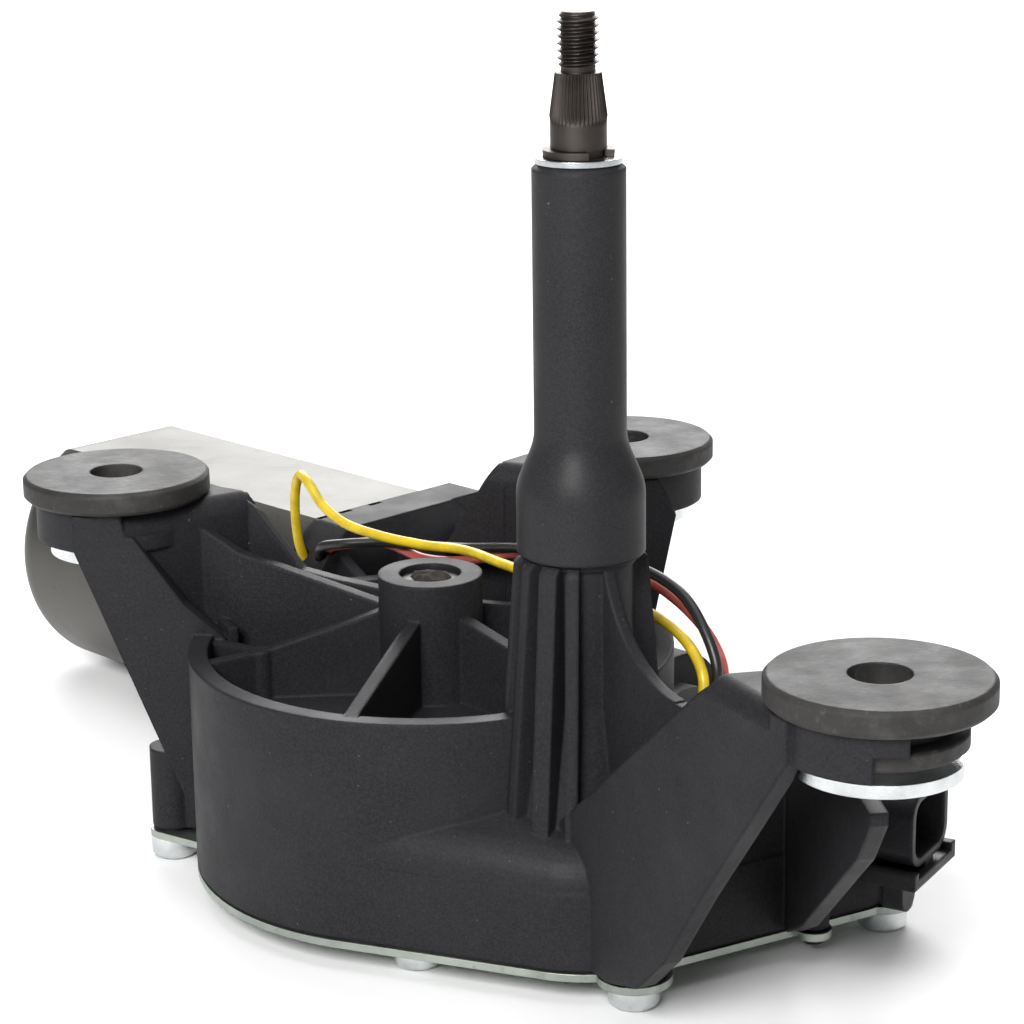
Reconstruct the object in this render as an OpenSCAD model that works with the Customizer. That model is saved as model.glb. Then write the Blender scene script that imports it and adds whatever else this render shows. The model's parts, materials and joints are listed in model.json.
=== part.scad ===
// Rear wiper motor: gear housing with a ribbed tower, long spindle and three rubber mounts.
// Millimetres, +Z up along the spindle.
// The origin is on the spindle axis, level with the tops of the rubber mounts.

/* [Spindle] */
// Diameter of the output shaft
shaft_d = 8; // [7:0.5:9]
// Height of the shaft's tip above the mounting level
shaft_tip_z = 77.8; // [74:0.5:84]
// Diameter of the threaded end
thread_d = 6; // [5:0.5:6.5]
// Length of the threaded end
thread_len = 8.4; // [7:0.1:10]
// Length of the serrated taper that grips the wiper arm
taper_len = 6; // [5:0.1:6.5]
// Diameter of the taper at its narrow end
taper_small_d = 6.6; // [6.6:0.1:7]
// Diameter of the taper over its serrations at the wide end
taper_large_d = 8.2; // [7.8:0.1:9]

/* [Sleeve] */
// Outside diameter of the sleeve's long tube
tube_d = 13.4; // [13:0.1:15]
// Height of the tube's top face
tube_top_z = 56.8; // [50:0.5:58]
// Outside diameter of the collar at the foot of the sleeve
collar_d = 18.8; // [18:0.1:21]
// Height of the collar's straight part
collar_len = 8.8; // [8:0.1:12]
// Height of the shoulder between the collar and the tube
shoulder_len = 9.4; // [7:0.1:12]

/* [Bearings] */
// Outside diameter of the sintered bushes
bush_d = 10.5; // [10:0.1:10.8]
// Length of each sintered bush
bush_len = 13; // [10:0.5:14]
// Running clearance on the radius between a shaft and its bush
running_gap = 0.03; // [0.02:0.01:0.08]

/* [Gear housing] */
// Gap between the tips of the wheel's teeth and the drum's wall
gear_gap = 1.2; // [0.8:0.1:3]
// Wall of the drum and of the lever chamber
wall = 3; // [2.5:0.1:3]
// Height of the drum's rim
rim_z = -24; // [-26:0.5:-22]
// Height of the joint with the cover plate
base_z = -58.5; // [-61:0.5:-58]
// Height of the ceiling over the gears
ceiling_z = -34.5; // [-35:0.1:-34]
// Thickness of the drum's floor over the gears
floor_t = 2.5; // [2:0.1:3]
// Outside radius of the hub over the gear axle
hub_r = 8.2; // [7:0.1:9]
// Height of the hub's top
hub_top_z = -12.5; // [-14:0.5:-11]
// Thickness of the drum's ribs
rib_t = 2.2; // [1.6:0.1:3]
// Outside radius of the lever chamber round the spindle
hump_r = 17.8; // [17.8:0.1:19]
// Height of the lever chamber's roof at the spindle
hump_top_z = -40; // [-41:0.5:-39]
// Radius of the rounded edge of the lever chamber's roof
hump_round = 6.5; // [4:0.5:7]
// Height of the switch chamber's roof
switch_top_z = -34.5; // [-36:0.5:-33]

/* [Tower] */
// Radius of the round core of the tower under the collar
core_r = 7.6; // [7.4:0.1:8]
// Reach of the tower's fins from the axis under the collar
fin_top_r = 9.8; // [9.2:0.1:10.2]
// Reach of the tower's fins from the axis at their feet
fin_foot_r = 13.2; // [11.5:0.1:14]
// Thickness of a thin fin
fin_t = 1.9; // [1.4:0.1:2.4]
// Height of the spigot that the sleeve sits on
spigot_len = 8.4; // [6:0.1:9]

/* [Rubber mounts] */
// Diameter of a mount's top disc
grommet_d = 30; // [28.2:0.2:31]
// Thickness of a mount's top disc
disc_t = 3.7; // [3:0.1:5]
// Diameter of the hole for the bolt
bolt_hole_d = 8.5; // [8:0.1:9]
// Diameter of the neck of a mount in its lug
neck_d = 18; // [16:0.2:20]
// Diameter of the lower flange of a mount
lower_flange_d = 23.2; // [22:0.2:24]
// Thickness of the lower flange of a mount
lower_flange_t = 2.4; // [1.8:0.1:3]
// Outside diameter of a lug
lug_d = 26.2; // [25.6:0.2:27.6]
// Depth of a lug from the disc down
lug_depth = 6.5; // [6:0.1:8]
// Thickness of the lug's plate that the neck passes through
lug_plate_t = 2.9; // [2.4:0.1:3.2]
// Radius of the bend between the top and the front of an arm
arm_round = 3.8; // [2:0.1:5]
// Wall of the steel spacer in a mount
spacer_wall = 1.1; // [0.8:0.1:1.5]
// Diameter of the spacer's flange under a mount
spacer_flange_d = 22.2; // [20:0.2:23]
// Thickness of the spacer's flange
spacer_flange_t = 1.8; // [1:0.1:2.5]
// How far the spacer's flange stands under the rubber
spacer_drop = 1.8; // [0.2:0.1:2.5]

/* [Gears] */
// Gear module
gear_module = 1.25; // [1.25:0.01:1.26]
// Teeth on the worm wheel
wheel_teeth = 53; // [52:1:53]
// Pitch radius of the worm
worm_pitch_r = 4.75; // [4.6:0.05:5]
// Length of the worm
worm_len = 20; // [14:0.5:22]
// Width of the worm wheel's teeth
wheel_width = 8; // [6:0.5:9]
// Play between the teeth, along the pitch circle
backlash = 0.45; // [0.4:0.01:0.6]
// Radius of the crank pin's circle
crank_r = 9; // [8.8:0.1:9.2]
// Radius of the lever pin's circle about the spindle
lever_r = 11.5; // [11.3:0.1:11.7]

/* [Motor] */
// Bearing of the motor's axis, from the spindle's X axis
motor_angle = 134.5; // [132:0.5:137]
// Height of the motor's axis
motor_z = -40.5; // [-41:0.1:-40]
// Diameter of the can over its round sides
can_d = 48; // [46:0.5:50]
// Height of the can over its flats
can_height = 41; // [39:0.5:42]
// Distance from the worm's middle to the can's mouth
can_start = 57; // [56:0.5:60]
// Length of the can
can_len = 78; // [76:0.5:84]
// Wall of the deep-drawn can
can_wall = 1.5; // [1.2:0.1:2]
// Radius of the rounded far edge of the can
can_round = 6; // [4:0.5:8]
// Thickness of the housing's flange that the can fits on
flange_t = 9; // [8:0.5:10]
// Diameter of the armature's shaft
armature_shaft_d = 5; // [4.6:0.1:5.2]
// Diameter of the armature's laminated core
core_d = 31; // [28:0.5:31.5]
// Number of slots in the armature's core
core_slots = 10; // [8:1:12]

/* [Cover plate] */
// Thickness of the steel cover plate
plate_t = 1.2; // [1:0.1:2]
// Thickness of the seal between the housing and the cover plate
seal_t = 0.5; // [0.3:0.1:1]
// Diameter of the shank of the cover screws
screw_d = 3.6; // [3:0.1:4]
// Diameter of the head of the cover screws
screw_head_d = 7.6; // [7:0.1:8]
// Height of the head of the cover screws
screw_head_h = 3.6; // [2.5:0.1:4]

/* [Connector] */
// Outside width of the connector's shroud
shroud_w = 14; // [13:0.1:15]
// Outside height of the connector's shroud
shroud_h = 11.6; // [11:0.1:12.5]
// Length of the shroud
shroud_len = 15; // [13:0.5:17]
// Wall of the shroud
shroud_wall = 1.3; // [1:0.1:1.6]
// Bearing of the connector's mouth
connector_angle = -30; // [-35:1:-25]

/* [Wires] */
// Diameter of the leads between the motor and the connector
wire_d = 1.7; // [1.2:0.1:2]

/* [Hidden] */
$fn = 64;

// Clearance between pieces that sit in each other without moving
seat_gap = 0.05;
// Clearance between pieces that pass each other
free_gap = 0.3;
// Overshoot of a cutting shape past the face that it cuts
over = 0.5;
boss_roof = 3;
screw_end_room = 1;
ring_rib_radii = [16, 22, 28];
ring_rib_from = 325;
ring_rib_to = 20;
// How far the straight flanks of a rounded outline stay inside its circles
tangent_inset = 0.02;

spindle = [0, 0];
gear_pos = [-23, 31];
switch_pos = [38, 13];
switch_r = 10.5;
front_pos = [36.4, -56.2];
left_pos = [-74, 48.8];
rear_pos = [8.9, 66.9];
peg_pos = [34.5, -2];
rib_fork = [-49.8, 29];

shaft_r = shaft_d / 2;
bush_r = bush_d / 2;
bush_bore_r = shaft_r + running_gap;
bush_seat_r = bush_r + seat_gap;
collar_r = collar_d / 2;
tube_r = tube_d / 2;
spigot_r = collar_r - 1.3;

gear_distance = norm(gear_pos - spindle);
gear_bearing = atan2(gear_pos.y, gear_pos.x);
wheel_pitch_r = gear_module * wheel_teeth / 2;
worm_distance = wheel_pitch_r + worm_pitch_r;
tooth_pitch = PI * gear_module;
addendum = 0.8 * gear_module;
dedendum = 1.15 * gear_module;
tooth_t = (tooth_pitch - backlash) / 2;
pressure_slope = tan(20);
wheel_tip_r = wheel_pitch_r + addendum;
wheel_root_r = wheel_pitch_r - dedendum;
ring_inner_r = wheel_pitch_r - 8;
worm_tip_r = worm_pitch_r + addendum;
worm_root_r = worm_pitch_r - dedendum;
lead_angle = atan(gear_module / (2 * worm_pitch_r));
wheel_z = motor_z - wheel_width / 2;

// The lever stands at the middle of its swing, and the crank pin where the link reaches it
link_len = sqrt(gear_distance * gear_distance + crank_r * crank_r - lever_r * lever_r);
swing_near = swing_angle(link_len - crank_r);
swing_far = swing_angle(link_len + crank_r);
lever_bearing = gear_bearing + (swing_near + swing_far) / 2;
lever_pin_pos = polar(lever_r, lever_bearing);
pin_span = norm(lever_pin_pos - gear_pos);
crank_turn = acos((pin_span * pin_span + crank_r * crank_r - link_len * link_len) / (2 * pin_span * crank_r));
crank_bearing = bearing(gear_pos, lever_pin_pos) + crank_turn;
crank_pos = gear_pos + polar(crank_r, crank_bearing);

lever_t = 4;
lever_top_z = -46.6;
lever_low_z = lever_top_z - lever_t;
lever_eye_r = 3.6;
lever_hub_r = 7;
pin_r = 2.4;
pin_bore_r = pin_r + running_gap;
link_t = 3;
link_top_z = lever_low_z - 0.6;
link_low_z = link_top_z - link_t;
link_eye_r = 3.8;
link_half_w = 3.2;

inner_r = wheel_tip_r + gear_gap;
drum_r = inner_r + wall;
chamber_wall = 2.2;
lever_room_r = hump_r - chamber_wall;
switch_room_r = switch_r - chamber_wall;
lever_ceiling_z = lever_top_z + 1.5;
switch_ceiling_z = switch_top_z - floor_t;
tower_foot_z = lever_ceiling_z;
floor_top_z = ceiling_z + floor_t;

axle_r = 4;
axle_bore_r = axle_r + running_gap;
hub_recess_r = 4.9;
hub_recess_z = hub_top_z - 3.4;
wheel_hub_r = 6.2;
carrier_t = 5;

tunnel_r = 9.4;
tunnel_bore_r = worm_tip_r + 0.9;
foot_r = tunnel_r - 1;
tunnel_start = -19;
armature_shaft_r = armature_shaft_d / 2;
armature_start = -15.5;
can_r = can_d / 2;
can_half = can_height / 2;
flange_corner_y = can_r - 3.8;
can_end = can_start + can_len;
flange_start = can_start - flange_t;

under_disc_z = -disc_t - 0.1;
lug_low_z = -disc_t - lug_depth;
lug_r = lug_d / 2;
lug_pocket_r = lower_flange_d / 2 + 0.2;
lug_plate_low_z = under_disc_z - lug_plate_t;
mount_low_z = lug_plate_low_z - 0.1 - lower_flange_t;
spacer_flange_z = mount_low_z - spacer_drop;
spacer_low_z = spacer_flange_z - spacer_flange_t;
spacer_top_z = -disc_t + 0.6;
spacer_pocket_r = spacer_flange_d / 2 + free_gap;
bolt_hole_r = bolt_hole_d / 2;
// Step between an upright web and the flat face beside it
step_gap = 0.25;
web_top_z = under_disc_z - step_gap;
skirt_low_z = lug_low_z + step_gap;
web_low_z = base_z + step_gap;

// Screw bosses: place, radius, height of the top
BOSSES = [
  [[-66.5, 42.5], 3.5, -45],
  [[-25, -2], 3.6, -47],
  [[6.9, -17], 5.2, -42],
  [[46.4, 9.6], 4.3, -48.6],
  [[24, 49], 4.4, -40],
  [[-47, 65.5], 4.4, -40]
];
plate_top_z = base_z - seal_t;
plate_low_z = plate_top_z - plate_t;
peg_r = 1.5;
peg_boss_r = 2.4;

connector_pos = [51.5, -3, -41.8];
shroud_round = 3.6;
tray_w = 16;
tray_len = 15;
tray_t = 1.5;
tray_drop = 2.4;
ear_r = 2.6;
ear_len = 4.2;

// Routes of the leads, from the motor's mouth to the grommet on the switch chamber
YELLOW_ROUTE = [
  [-46.3, 84, -27], [-47.4, 82.4, -22.5], [-47.8, 81.6, -17.5], [-47.6, 80.6, -12.6], [-46.6, 78, -9],
  [-45, 74.2, -9], [-42.4, 71, -12.2], [-38.6, 67.6, -14.6], [-32.5, 63.6, -15.8], [-25, 59, -16.2],
  [-18, 52.5, -15.3], [-11, 42, -14.8], [-2.5, 30, -14.3], [6, 23.5, -15], [12.5, 18, -16.5],
  [16.6, 12.4, -19], [18.4, 8.4, -22.4], [18.4, 7, -26]
];
BLACK_ROUTE = [
  [-42, 83, -27.5], [-43.6, 80.6, -24.2], [-43, 77.4, -21.7], [-39.4, 75.2, -20.6], [-33, 73.8, -20],
  [-26, 71, -19.8], [-18, 62.5, -17.8], [-10, 52, -14.8], [-2, 38, -11.6], [5, 29, -10.3],
  [11, 24, -10.7], [16, 18.5, -12.9], [19, 13.5, -17], [20.6, 10.4, -21.6], [20.6, 9.6, -26]
];
RED_ROUTE = [
  [-40.4, 86.6, -28], [-42, 83.8, -24.8], [-41.6, 80, -22.6], [-38.6, 77.4, -21.3], [-32.4, 76, -20.7],
  [-25.4, 71, -22.1], [-18.4, 63.4, -20.4], [-10, 54.6, -16.6], [-1.8, 41.4, -12.6], [5.4, 31.8, -11.8],
  [12, 27, -13.6], [17.3, 21.5, -16.6], [20.6, 16.2, -20], [21.8, 13, -23.2], [21.5, 12.2, -26]
];
wire_end_z = YELLOW_ROUTE[len(YELLOW_ROUTE) - 1].z;

function polar(r, a) = [r * cos(a), r * sin(a)];
function bearing(p, q) = atan2(q.y - p.y, q.x - p.x);
function worm_axis(x) = gear_pos + polar(worm_distance, motor_angle - 90) + polar(x, motor_angle);
function swing_angle(reach) =
  acos((gear_distance * gear_distance + lever_r * lever_r - reach * reach) / (2 * gear_distance * lever_r));
function cross_section(centre, along, r, sides) =
  let (d = along / norm(along))
  let (up = [1, 1, 0])
  let (side = cross(d, up) / norm(cross(d, up)))
  let (top = cross(side, d))
  [for (i = [0:sides - 1]) centre + r * (cos(360 * i / sides) * side + sin(360 * i / sides) * top)];
function spline(p0, p1, p2, p3, t) =
  0.5 * (2 * p1 + (p2 - p0) * t + (2 * p0 - 5 * p1 + 4 * p2 - p3) * t * t
    + (3 * p1 - p0 - 3 * p2 + p3) * t * t * t);
function smooth_route(p, steps) =
  let (last = len(p) - 1)
  concat(
    [for (i = [0:last - 1], k = [0:steps - 1])
      spline(p[max(i - 1, 0)], p[i], p[i + 1], p[min(i + 2, last)], k / steps)],
    [p[last]]);

// A block between two heights that fills the space between two round posts and their common tangents
module web(p, pr, q, qr, low, high) {
  turn = acos((pr - qr) / norm(q - p));
  a = bearing(p, q);
  slab(low, high)
    polygon([for (c = [[p, pr, 1], [q, qr, 1], [q, qr, -1], [p, pr, -1]])
      c[0] + polar(c[1] - tangent_inset, a + c[2] * turn)]);
}

module pill(p, pr, q, qr, low, high) {
  post(p, pr, low, high);
  post(q, qr, low, high);
  web(p, pr, q, qr, low, high);
}

module post(p, r, low, high) {
  translate([p.x, p.y, low]) cylinder(r = r, h = high - low);
}

module slab(low, high) {
  translate([0, 0, low]) linear_extrude(height = high - low) children();
}

// A flat outline of distance and height, stood up on a bearing from a point of the plan
module upright(p, a, t) {
  translate([p.x, p.y, 0]) rotate([90, 0, a]) translate([0, 0, -t / 2]) linear_extrude(height = t) children();
}

// A rib between two points of the plan with its own top height at each
module rib(p, q, t, low, top_p, top_q) {
  upright(p, bearing(p, q), t) polygon([[0, low], [norm(q - p), low], [norm(q - p), top_q], [0, top_p]]);
}

// The motor's own frame: X along its axis away from the worm, the gear on its +Y side
module motor_frame() {
  translate([gear_pos.x, gear_pos.y, motor_z])
    rotate(motor_angle)
      translate([0, -worm_distance, 0])
        children();
}

module barrel(start, end, r) {
  translate([start, 0, 0]) rotate([0, 90, 0]) cylinder(r = r, h = end - start);
}

// The housing's outline at its foot, drawn in by an inset
module lower_outline(inset, low, high) {
  post(gear_pos, drum_r - inset, low, high);
  lower_lobes(inset, low, high);
  web(gear_pos, drum_r - inset, switch_pos, switch_r - inset, low, high);
  tunnel_foot(foot_r - inset, low, high);
}

module lower_lobes(inset, low, high) {
  post(spindle, hump_r - inset, low, high);
  post(switch_pos, switch_r - inset, low, high);
  web(gear_pos, drum_r - inset, spindle, hump_r - inset, low, high);
  web(spindle, hump_r - inset, switch_pos, switch_r - inset, low, high);
}

module tunnel_foot(r, low, high) {
  pill(worm_axis(tunnel_start + tunnel_r), r, worm_axis(flange_start - 20), r, low, high);
}

module can_shape(start, end, inset, round) {
  r = can_r - inset;
  h = can_half - inset;
  intersection() {
    rotate([0, 90, 0]) rotate_extrude() can_profile(r, start, end, round);
    rotate([90, 0, 0])
      translate([0, 0, -can_r])
        linear_extrude(height = can_d)
          union() {
            translate([start, -h]) square([end - start - round, 2 * h]);
            translate([start, round - h]) square([end - start, 2 * (h - round)]);
            for (side = [-1, 1]) translate([end - round, side * (h - round)]) circle(r = round);
          }
  }
}

module can_profile(r, start, end, round) {
  translate([0, start]) square([r, end - start - round]);
  translate([0, start]) square([r - round, end - start]);
  translate([r - round, end - round]) circle(r = round);
}

module gear_housing() {
  color([0.13, 0.13, 0.14])
    difference() {
      union() {
        difference() {
          union() {
            difference() {
              housing_shell();
              drum_recess();
            }
            hub();
            drum_ribs();
            front_arm();
            left_arm();
            rear_arm();
            boss_webs();
          }
          gear_room();
          motor_frame() can_shape(can_start - 6, can_start + over, 3.2, 0.5);
        }
        for (b = BOSSES) post(b[0], b[1], base_z, b[2]);
        pill(BOSSES[1][0], BOSSES[1][1] - 0.3, [-26.3, -4.9], 2.5, base_z + 0.2, BOSSES[1][2] - 0.2);
        post(peg_pos, peg_boss_r, base_z, -47);
        post(peg_pos, peg_r, plate_low_z - 1, base_z + over);
      }
      motor_frame() barrel(armature_start - 1.2, can_start + over, tunnel_bore_r);
      spindle_bore();
      hub_bore();
      lead_holes();
      connector_body(seat_gap);
      connector_frame() translate([-shroud_len - 3, -5, -2]) cube([3.5, 10, 4]);
      for (b = BOSSES) post(b[0], screw_d / 2 + seat_gap, base_z - over, b[2] - boss_roof);
    }
}

// The holes in the motor flange that the three leads come out of
module lead_holes() {
  for (route = [YELLOW_ROUTE, BLACK_ROUTE, RED_ROUTE]) {
    for (i = [0, 1]) {
      along = route[i + 1] - route[i];
      translate(route[i] - (0.02 + 0.15 * i) * along)
        rotate([0, acos(along.z / norm(along)), atan2(along.y, along.x)])
          cylinder(r = wire_d / 2 + 0.3 - 0.03 * i, h = norm(along) * 1.3);
    }
  }
}

module housing_shell() {
  post(gear_pos, drum_r, base_z, rim_z);
  lower_lobes(0, base_z, hump_top_z - hump_round);
  lever_roof();
  post(switch_pos, switch_r - 0.2, base_z + 1, switch_top_z);
  web(switch_pos, switch_r - 0.2, gear_pos, drum_r - 8, base_z, switch_top_z);
  worm_tunnel();
  motor_flange();
  tower();
}

module lever_roof() {
  hull() {
    rounded_button(spindle, hump_r - 0.15, hump_top_z);
    rounded_button([-34.5, 2], hump_round + 0.5, hump_top_z + 1.5);
    rounded_button([-20, 6], hump_round + 3, hump_top_z + 3.8);
  }
}

module rounded_button(p, r, top) {
  translate([p.x, p.y, hump_top_z - hump_round - 1])
    rotate_extrude($fn = 64)
      intersection() {
        square([r, top - hump_top_z + hump_round + 1]);
        union() {
          square([r, top - hump_top_z + 1]);
          square([r - hump_round, top - hump_top_z + hump_round + 1]);
          translate([r - hump_round, top - hump_top_z + 1]) circle(r = hump_round, $fn = 36);
        }
      }
}

module gear_room() {
  post(gear_pos, inner_r, base_z - over, ceiling_z);
  post(spindle, lever_room_r, base_z - over, lever_ceiling_z);
  web(gear_pos, inner_r, spindle, lever_room_r, base_z - over, lever_ceiling_z);
  web(spindle, lever_room_r, switch_pos, switch_room_r, base_z - over, lever_ceiling_z - 1);
  post(switch_pos, switch_room_r, base_z - over, switch_ceiling_z - 3);
  web(switch_pos, switch_room_r - 0.3, gear_pos, inner_r - 1, base_z - over, switch_ceiling_z - 3.5);
  tunnel_foot(foot_r - chamber_wall, base_z - over, motor_z - tunnel_r);
}

module drum_recess() {
  difference() {
    post(gear_pos, inner_r, floor_top_z, rim_z + over);
    post(spindle, fin_foot_r - 2, floor_top_z - over, rim_z + 2 * over);
  }
}

module worm_tunnel() {
  motor_frame() {
    barrel(tunnel_start, flange_start + 1, tunnel_r);
  }
  tunnel_foot(foot_r, base_z, motor_z - 2);
}

module motor_flange() {
  motor_frame() {
    difference() {
      intersection() {
        can_shape(flange_start, can_start + 1, 0, 0.6);
        translate([flange_start, -can_r, -can_half]) cube([flange_t, can_d, can_height]);
      }
      for (y = [-17.5, -13.2, -2.4, 4.6, 9.8])
        translate([can_start - 1, y, can_half - 0.7]) cube([2, 2.6, 2]);
      translate([can_start - 4.2, -can_r + 6.6, can_half - 1]) cube([5, 1.1, 2]);
    }
    translate([flange_start + 0.5, -flange_corner_y, 4])
      cube([flange_t - 0.5, flange_corner_y - 4, can_half - 4]);
    for (y = [-14, 0, 14])
      translate([0, y, 0])
        rotate([90, 0, 0])
          translate([0, 0, -rib_t / 2])
            linear_extrude(height = rib_t)
              polygon([[flange_start - 22, 2], [flange_start + 1, can_half - 4],
                [flange_start + 1, 4 - can_half], [flange_start - 14, 6 - can_half]]);
  }
}

module tower() {
  post(spindle, core_r, tower_foot_z, 0);
  translate([0, 0, hump_top_z - 2]) cylinder(r1 = fin_foot_r - 2, r2 = core_r - 0.3, h = 22);
  post(spindle, spigot_r, -1, spigot_len);
  for (a = [187, 213, 10, 60, 105, 145]) tower_fin(a, fin_t);
  tower_fin(239, 1.5 * fin_t);
  tower_fin(261, fin_t);
}

module tower_fin(a, t) {
  upright(spindle, a, t)
    polygon([[0, -step_gap], [fin_top_r - 1, -step_gap], [fin_top_r, -1.2], [fin_foot_r, hump_top_z - 3],
      [0, hump_top_z - 3]]);
}

module spindle_bore() {
  post(spindle, bush_seat_r, tower_foot_z - over, spigot_len + over);
}

module hub() {
  post(gear_pos, hub_r, ceiling_z, hub_top_z);
}

module hub_bore() {
  post(gear_pos, axle_r + seat_gap, ceiling_z - over, hub_top_z + over);
  post(gear_pos, hub_recess_r, hub_recess_z, hub_top_z + over);
}

module drum_ribs() {
  rib_hub_z = hub_top_z - 5.5;
  low = floor_top_z - over;
  for (a = [252, 313, 20])
    rib(gear_pos + polar(hub_r - 1, a), gear_pos + polar(inner_r + 1, a), rib_t, low, rib_hub_z, rim_z);
  rib(rib_fork, gear_pos + polar(hub_r - 1, 184), rib_t, low, rim_z - 0.3, rib_hub_z);
  rib(gear_pos + polar(inner_r + 1, 191.5), rib_fork, rib_t, low, rim_z - 0.6, rim_z - 0.3);
  rib(gear_pos + polar(inner_r + 1, 171), rib_fork, rib_t, low, rim_z - 0.9, rim_z - 0.3);
  post(rib_fork, rib_t / 2 + 0.8, low, rim_z - 0.1);
  for (r = ring_rib_radii) ring_rib(r, ring_rib_from, ring_rib_to, rim_z + 1);
}

module ring_rib(r, from, to, top) {
  slab(floor_top_z - over, top)
    intersection() {
      translate(gear_pos)
        difference() {
          circle(r = r + rib_t / 2);
          circle(r = r - rib_t / 2);
        }
      polygon([gear_pos, gear_pos + polar(60, from), gear_pos + polar(60, (from + to + 360) / 2),
        gear_pos + polar(60, to)]);
    }
}

module boss_webs() {
  pill(BOSSES[0][0], 2, [-57, 40], 2.1, base_z, BOSSES[0][2]);
  pill(BOSSES[5][0], 4, [-42, 58], 4.1, base_z, BOSSES[5][2]);
  pill(BOSSES[4][0], 4, [14, 44], 6, base_z, BOSSES[4][2]);
}

// The lug of a mount: a plate with a round hole over a skirt, both open over a range of bearings
module lug(p, plate_from, skirt_from, to) {
  difference() {
    post(p, lug_r, lug_low_z, under_disc_z);
    post(p, lug_pocket_r, lug_low_z - over, lug_plate_low_z);
    post(p, neck_d / 2 + 0.2, lug_low_z - over, under_disc_z + over);
    lug_opening(p, plate_from, to, lug_plate_low_z - 0.1, under_disc_z + over);
    lug_opening(p, skirt_from, to, lug_low_z - over, lug_plate_low_z);
  }
}

module lug_opening(p, from, to, low, high) {
  slab(low, high)
    polygon([p, p + polar(40, from), p + polar(50, (2 * from + to) / 3), p + polar(50, (from + 2 * to) / 3),
      p + polar(40, to)]);
}

// Clears the room of a mount's neck, flange and spacer through an arm
module mount_room(p) {
  post(p, neck_d / 2 + 0.2, lug_low_z - over, under_disc_z + over);
  post(p, lug_pocket_r, mount_low_z - 0.3, lug_plate_low_z);
  post(p, spacer_pocket_r, spacer_low_z - 6, lug_low_z - 0.1);
}

// Rounds the top edge of an upright face that starts at a point and runs on a bearing, sinking by a tilt
module soft_edge(p, a, length, tilt) {
  translate([p.x, p.y, under_disc_z - (tilt == 0 ? arm_round : 0)])
    rotate([0, tilt, a])
      difference() {
        translate([0, -1, 0.01]) cube([length, arm_round + 1, arm_round + 2]);
        translate([-1, arm_round, 0]) rotate([0, 90, 0]) cylinder(r = arm_round + 0.12, h = length + 2);
      }
}

module front_arm() {
  web_start = [0.5, -17.8];
  web_bearing = -62.3;
  web_t = wall;
  inward = polar(web_t / 2, web_bearing + 90);
  difference() {
    union() {
      lug(front_pos, -80.5, -100.6, 55);
      upright(web_start + inward, web_bearing, web_t)
        polygon([[-12.8, web_low_z], [-12.8, hump_top_z - 1.4], [32.6, web_top_z], [50.4, web_top_z],
          [50.4, skirt_low_z], [39.9, -23.4], [30.1, -35.8], [20.2, -49.4], [13.4, -55.7], [5, web_low_z]]);
      slab(lug_plate_low_z, under_disc_z)
        polygon([[14.8, -45.2], [22.9, -43.6], [37, -42.5], [36, -56], [28, -62]]);
      upright([35.4, -45], bearing([35.4, -45], [31, -2]), 2.4)
        polygon([[0, web_top_z], [-12, -11], [-12, -20.5], [-5, -28], [29, -52.5], [40, web_low_z],
          [43, web_low_z], [43, switch_top_z - 1], [14, -12]]);
      upright([8, -14.2], 29.4, 2.4)
        polygon([[0, -50], [0, -47.5], [7, -40], [13, switch_top_z - 0.4], [35, switch_top_z - 0.4],
          [35, -50]]);
      gusset();
    }
    mount_room(front_pos);
    soft_edge(web_start + polar(20, web_bearing), web_bearing, 26.5, 0);
  }
}

// The fin that sweeps in a hollow curve from the tower out to the front arm
module gusset() {
  sweep_r = 19.3;
  sweep_centre = [26.7, 4.2];
  foot_z = sweep_centre.y - sweep_r - 0.2;
  upright(spindle, -61, fin_t)
    difference() {
      polygon([[0, -step_gap], [sweep_centre.x, -step_gap], [sweep_centre.x, foot_z], [33, foot_z], [36, -20],
        [20, hump_top_z - 3], [0, hump_top_z - 3]]);
      translate(sweep_centre) circle(r = sweep_r);
    }
}

module left_arm() {
  front_y = left_pos.y - lug_r;
  low = floor_top_z - over;
  wall_start = [-69, front_y + 1.6];
  wall_bearing = 31;
  hub_end_z = hub_top_z - 5;
  difference() {
    union() {
      lug(left_pos, 100, 100, 170);
      upright([left_pos.x - 5.5, front_y + wall / 2], 0, wall)
        polygon([[0, web_top_z], [7, web_top_z], [17.1, -18.8], [23.5, rim_z - 0.8], [23.5, base_z + 6],
          [17, base_z + 4], [0, skirt_low_z]]);
      upright(wall_start + polar(1.2, wall_bearing + 90), wall_bearing, 2.4)
        polygon([[0, low], [0, web_top_z], [20, web_top_z], [22.5, low]]);
      upright([-62, 44.6], bearing([-62, 44.6], gear_pos), rib_t)
        polygon([[0, low + 0.1], [0, -6.6], [9, -11.8], [34, hub_end_z - 0.7], [34, low + 0.1]]);
      upright([-51.5, 46.4], bearing([-51.5, 46.4], gear_pos + [-2, 6]), rib_t)
        polygon([[-1, low + 0.2], [-1, web_top_z - 0.3], [8.3, -15.4], [14, -16.4], [27, hub_end_z - 0.4],
          [27, low + 0.2]]);
      slab(lug_plate_low_z, under_disc_z)
        polygon([[-74, front_y + 0.2], [-70, front_y + 0.2], wall_start, [-51.2, 47.9], [-57.5, 52],
          [-66, 61], [-72, 50]]);
      rib([-57, 41.5], [-54.8, 36.5], 1.6, low + 0.3, rim_z + 1, rim_z + 1);
    }
    mount_room(left_pos);
    soft_edge(wall_start - polar(3, wall_bearing), wall_bearing, 28, 0);
  }
}

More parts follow.
